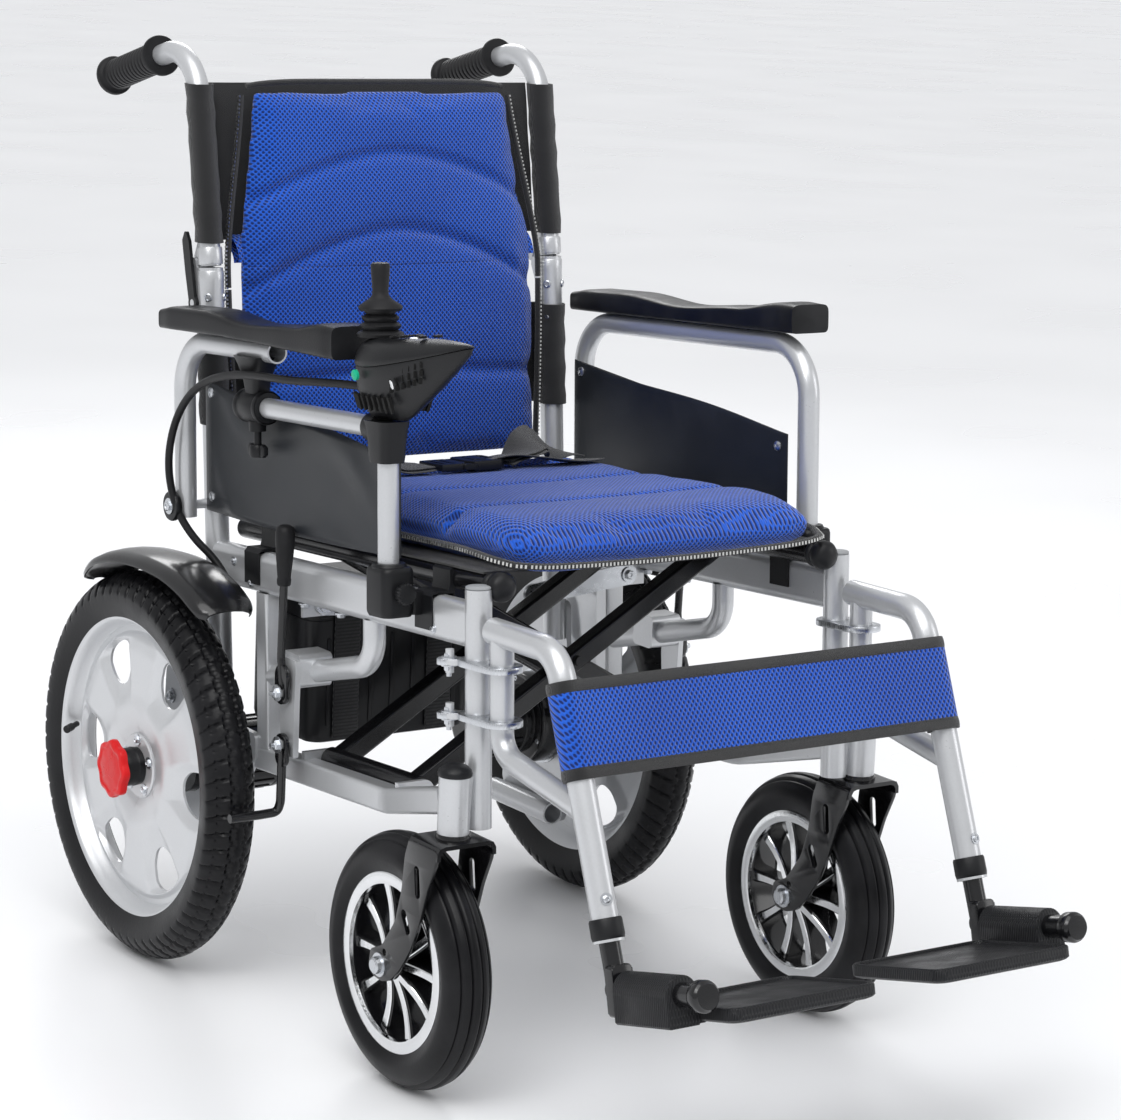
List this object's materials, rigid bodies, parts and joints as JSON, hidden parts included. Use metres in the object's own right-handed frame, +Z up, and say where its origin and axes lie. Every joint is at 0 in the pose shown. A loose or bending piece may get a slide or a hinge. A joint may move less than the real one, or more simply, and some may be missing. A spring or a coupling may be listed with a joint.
{
  "type": "power wheelchair",
  "caption": "Folding power wheelchair with joystick armrest, sling back and seat cushions, swing-away legrests, hub-driven rear wheels and swivelling front casters.",
  "frame": {"origin": "on the floor, under the middle of the chair's overall box", "axes": "+Z up, the chair faces -Y, and the sitter's right hand is at -X"},
  "size_m": [0.634, 1.1367, 0.9456],
  "materials": {
    "silver_paint": "satin silver powder coat",
    "black_metal": "gloss black paint",
    "black_plastic": "satin moulded",
    "tyre_rubber": "matt black",
    "silver_rim": "painted silver",
    "red_plastic": "semi gloss",
    "black_rim": "gloss black with machined edges",
    "grip_rubber": "soft matt",
    "pad_foam": "moulded foam skin",
    "panel_plastic": "dark grey, fine texture",
    "blue_mesh": "open spacer mesh",
    "zinc_steel": "zinc plated",
    "button_plastic": "gloss",
    "cable_jacket": "matt",
    "webbing": "woven polyester"
  },
  "bodies": {
    "right_frame": {"right_side_frame": "silver_paint", "right_motor": "black_metal", "right_fender": "black_plastic", "right_arm_socket": "black_plastic", "back_cushion_lower": "blue_mesh", "control_cable": "cable_jacket"},
    "battery": {"battery_box": "black_plastic"},
    "scissor_a": {"cross_bar_a": "black_metal"},
    "scissor_b": {"cross_bar_b": "black_metal"},
    "left_frame": {"left_side_frame": "silver_paint", "left_motor": "black_metal", "left_fender": "black_plastic", "left_arm_socket": "black_plastic"},
    "seat": {"seat_cushion": "blue_mesh", "lap_belt": "webbing"},
    "right_back": {"right_back_post": "silver_paint", "right_grip": "grip_rubber", "back_cushion_upper": "blue_mesh"},
    "left_back": {"left_back_post": "silver_paint", "left_grip": "grip_rubber"},
    "right_arm": {"right_arm_frame": "silver_paint", "right_arm_pad": "pad_foam", "right_side_panel": "panel_plastic", "control_clamp": "black_plastic", "controller_base": "black_plastic", "controller_cover": "black_plastic"},
    "left_arm": {"left_arm_frame": "silver_paint", "left_arm_pad": "pad_foam", "left_side_panel": "panel_plastic"},
    "stick_ring": {"stick_gimbal": "black_plastic"},
    "stick": {"joystick": "grip_rubber"},
    "button": {"power_button": "button_plastic"},
    "right_back_release": {"right_back_lever": "black_plastic"},
    "right_wheel": {"right_rear_tyre": "tyre_rubber", "right_rear_rim": "silver_rim"},
    "right_clutch": {"right_clutch_knob": "red_plastic"},
    "right_fork": {"right_caster_fork": "black_metal"},
    "right_caster": {"right_caster_tyre": "tyre_rubber", "right_caster_rim": "black_rim"},
    "right_brake": {"right_brake_lever": "black_metal"},
    "right_shoe": {"right_brake_shoe": "black_metal"},
    "right_leg": {"right_legrest": "silver_paint", "right_calf_strap": "blue_mesh"},
    "right_foot": {"right_foot_tube": "black_metal"},
    "right_plate": {"right_footplate": "black_plastic"},
    "right_link": {"right_upper_link": "zinc_steel"},
    "left_back_release": {"left_back_lever": "black_plastic"},
    "left_wheel": {"left_rear_tyre": "tyre_rubber", "left_rear_rim": "silver_rim"},
    "left_clutch": {"left_clutch_knob": "red_plastic"},
    "left_fork": {"left_caster_fork": "black_metal"},
    "left_caster": {"left_caster_tyre": "tyre_rubber", "left_caster_rim": "black_rim"},
    "left_brake": {"left_brake_lever": "black_metal"},
    "left_shoe": {"left_brake_shoe": "black_metal"},
    "left_leg": {"left_legrest": "silver_paint", "left_calf_strap": "blue_mesh"},
    "left_foot": {"left_foot_tube": "black_metal"},
    "left_plate": {"left_footplate": "black_plastic"},
    "left_link": {"left_upper_link": "zinc_steel"}
  },
  "joints": [
    {"name": "frame_fold", "type": "hinge", "parent": "right_frame", "child": "scissor_a", "pos_m": [-0.184, -0.18762, 0.27237], "axis": [0, -0.9979, 0.0645], "range_deg": [0, 34], "deforming": ["seat_cushion", "lap_belt", "back_cushion_lower", "back_cushion_upper", "right_calf_strap", "left_calf_strap"]},
    {"name": "scissor_cross", "type": "hinge", "parent": "scissor_a", "child": "scissor_b", "pos_m": [0, -0.18075, 0.3785], "axis": [0, -0.9979, 0.0645], "range_deg": [-68, 0]},
    {"name": "left_frame_pivot", "type": "hinge", "parent": "scissor_b", "child": "left_frame", "pos_m": [0.184, -0.18762, 0.27237], "axis": [0, -0.9979, 0.0645], "range_deg": [0, 34]},
    {"name": "seat_pivot", "type": "hinge", "parent": "scissor_b", "child": "seat", "pos_m": [-0.188, -0.17374, 0.48693], "axis": [0, -0.9979, 0.0645], "range_deg": [0, 34]},
    {"name": "right_link_swing", "type": "hinge", "parent": "right_frame", "child": "right_link", "pos_m": [-0.184, -0.17761, 0.42705], "axis": [0, -0.9979, 0.0645], "range_deg": [0, 65.2]},
    {"name": "left_link_swing", "type": "hinge", "parent": "left_frame", "child": "left_link", "pos_m": [0.184, -0.17761, 0.42705], "axis": [0, 0.9979, -0.0645], "range_deg": [0, 65.2]},
    {"name": "battery_slide", "type": "slide", "parent": "right_frame", "child": "battery", "axis": [0, 1, 0], "range_m": [0, 0.25]},
    {"name": "back_fold", "type": "hinge", "parent": "right_frame", "child": "right_back", "pos_m": [-0.209, 0.365, 0.72], "axis": [1, 0, 0], "range_deg": [-90, 0]},
    {"name": "left_back_fold", "type": "hinge", "parent": "left_frame", "child": "left_back", "pos_m": [0.209, 0.365, 0.72], "axis": [1, 0, 0], "range_deg": [-90, 0]},
    {"name": "right_arm_flip", "type": "hinge", "parent": "right_frame", "child": "right_arm", "pos_m": [-0.247, 0.31685, 0.48025], "axis": [-1, 0, 0], "range_deg": [0, 58], "deforming": ["control_cable"]},
    {"name": "left_arm_flip", "type": "hinge", "parent": "left_frame", "child": "left_arm", "pos_m": [0.247, 0.31685, 0.48025], "axis": [-1, 0, 0], "range_deg": [0, 95]},
    {"name": "stick_side_tilt", "type": "hinge", "parent": "right_arm", "child": "stick_ring", "pos_m": [-0.242, -0.04462, 0.68601], "axis": [0, 0.9979, -0.0645], "range_deg": [-15, 15], "stiffness_Nm_per_rad": 0.5, "deforming": ["joystick"]},
    {"name": "stick_fore_tilt", "type": "hinge", "parent": "stick_ring", "child": "stick", "pos_m": [-0.242, -0.04462, 0.68601], "axis": [1, 0, 0], "range_deg": [-15, 15], "stiffness_Nm_per_rad": 0.5, "deforming": ["joystick"]},
    {"name": "power_button_press", "type": "slide", "parent": "right_arm", "child": "button", "axis": [0, -0.0645, -0.9979], "range_m": [0, 0.0015], "stiffness_N_per_m": 400},
    {"name": "right_back_release_press", "type": "hinge", "parent": "right_frame", "child": "right_back_release", "pos_m": [-0.2237, 0.353, 0.682], "axis": [1, 0, 0], "range_deg": [-15, 0], "stiffness_Nm_per_rad": 0.4},
    {"name": "right_wheel_roll", "type": "hinge", "parent": "right_frame", "child": "right_wheel", "pos_m": [-0.2745, 0.3425, 0.203], "axis": [1, 0, 0], "continuous": true},
    {"name": "right_clutch_turn", "type": "hinge", "parent": "right_wheel", "child": "right_clutch", "pos_m": [-0.309, 0.3425, 0.203], "axis": [1, 0, 0], "range_deg": [0, 90]},
    {"name": "right_fork_swivel", "type": "hinge", "parent": "right_frame", "child": "right_fork", "pos_m": [-0.239, -0.192, 0.28], "axis": [0, 0, 1], "continuous": true},
    {"name": "right_caster_roll", "type": "hinge", "parent": "right_fork", "child": "right_caster", "pos_m": [-0.239, -0.1235, 0.12275], "axis": [1, 0, 0], "continuous": true},
    {"name": "right_brake_push", "type": "hinge", "parent": "right_frame", "child": "right_brake", "pos_m": [-0.242, 0.12053, 0.3266], "axis": [1, 0, 0], "range_deg": [0, 30]},
    {"name": "right_shoe_swing", "type": "hinge", "parent": "right_frame", "child": "right_shoe", "pos_m": [-0.242, 0.11753, 0.2746], "axis": [1, 0, 0], "range_deg": [0, 4.8]},
    {"name": "right_leg_swing", "type": "hinge", "parent": "right_frame", "child": "right_leg", "pos_m": [-0.209, -0.21522, 0.45454], "axis": [0, -0.0645, -0.9979], "range_deg": [0, 90]},
    {"name": "right_foot_extend", "type": "slide", "parent": "right_leg", "child": "right_foot", "axis": [0, -0.3785, -0.9256], "range_m": [0, 0.05]},
    {"name": "right_plate_flip", "type": "hinge", "parent": "right_foot", "child": "right_plate", "pos_m": [-0.209, -0.41726, 0.178], "axis": [0, -0.9703, 0.2419], "range_deg": [0, 90]},
    {"name": "left_back_release_press", "type": "hinge", "parent": "left_frame", "child": "left_back_release", "pos_m": [0.2237, 0.353, 0.682], "axis": [1, 0, 0], "range_deg": [-15, 0], "stiffness_Nm_per_rad": 0.4},
    {"name": "left_wheel_roll", "type": "hinge", "parent": "left_frame", "child": "left_wheel", "pos_m": [0.2745, 0.3425, 0.203], "axis": [1, 0, 0], "continuous": true},
    {"name": "left_clutch_turn", "type": "hinge", "parent": "left_wheel", "child": "left_clutch", "pos_m": [0.309, 0.3425, 0.203], "axis": [1, 0, 0], "range_deg": [0, 90]},
    {"name": "left_fork_swivel", "type": "hinge", "parent": "left_frame", "child": "left_fork", "pos_m": [0.239, -0.192, 0.28], "axis": [0, 0, 1], "continuous": true},
    {"name": "left_caster_roll", "type": "hinge", "parent": "left_fork", "child": "left_caster", "pos_m": [0.239, -0.1235, 0.12275], "axis": [1, 0, 0], "continuous": true},
    {"name": "left_brake_push", "type": "hinge", "parent": "left_frame", "child": "left_brake", "pos_m": [0.242, 0.12053, 0.3266], "axis": [1, 0, 0], "range_deg": [0, 30]},
    {"name": "left_shoe_swing", "type": "hinge", "parent": "left_frame", "child": "left_shoe", "pos_m": [0.242, 0.11753, 0.2746], "axis": [1, 0, 0], "range_deg": [0, 4.8]},
    {"name": "left_leg_swing", "type": "hinge", "parent": "left_frame", "child": "left_leg", "pos_m": [0.209, -0.21522, 0.45454], "axis": [0, 0.0645, 0.9979], "range_deg": [0, 90]},
    {"name": "left_foot_extend", "type": "slide", "parent": "left_leg", "child": "left_foot", "axis": [0, -0.3785, -0.9256], "range_m": [0, 0.05]},
    {"name": "left_plate_flip", "type": "hinge", "parent": "left_foot", "child": "left_plate", "pos_m": [0.209, -0.41726, 0.178], "axis": [0, 0.9703, -0.2419], "range_deg": [0, 90]}
  ],
  "couplings": [
    {"joint": "scissor_cross", "follows": "frame_fold", "ratio": -2},
    {"joint": "left_frame_pivot", "follows": "frame_fold", "ratio": 1},
    {"joint": "seat_pivot", "follows": "frame_fold", "ratio": 1},
    {"joint": "right_link_swing", "follows": "frame_fold", "ratio": 1.915},
    {"joint": "left_link_swing", "follows": "frame_fold", "ratio": 1.915},
    {"joint": "left_back_fold", "follows": "back_fold", "ratio": 1},
    {"joint": "right_shoe_swing", "follows": "right_brake_push", "ratio": 0.16},
    {"joint": "right_plate_flip", "follows": "frame_fold", "ratio": 2.647},
    {"joint": "left_shoe_swing", "follows": "left_brake_push", "ratio": 0.16},
    {"joint": "left_plate_flip", "follows": "frame_fold", "ratio": 2.647}
  ]
}
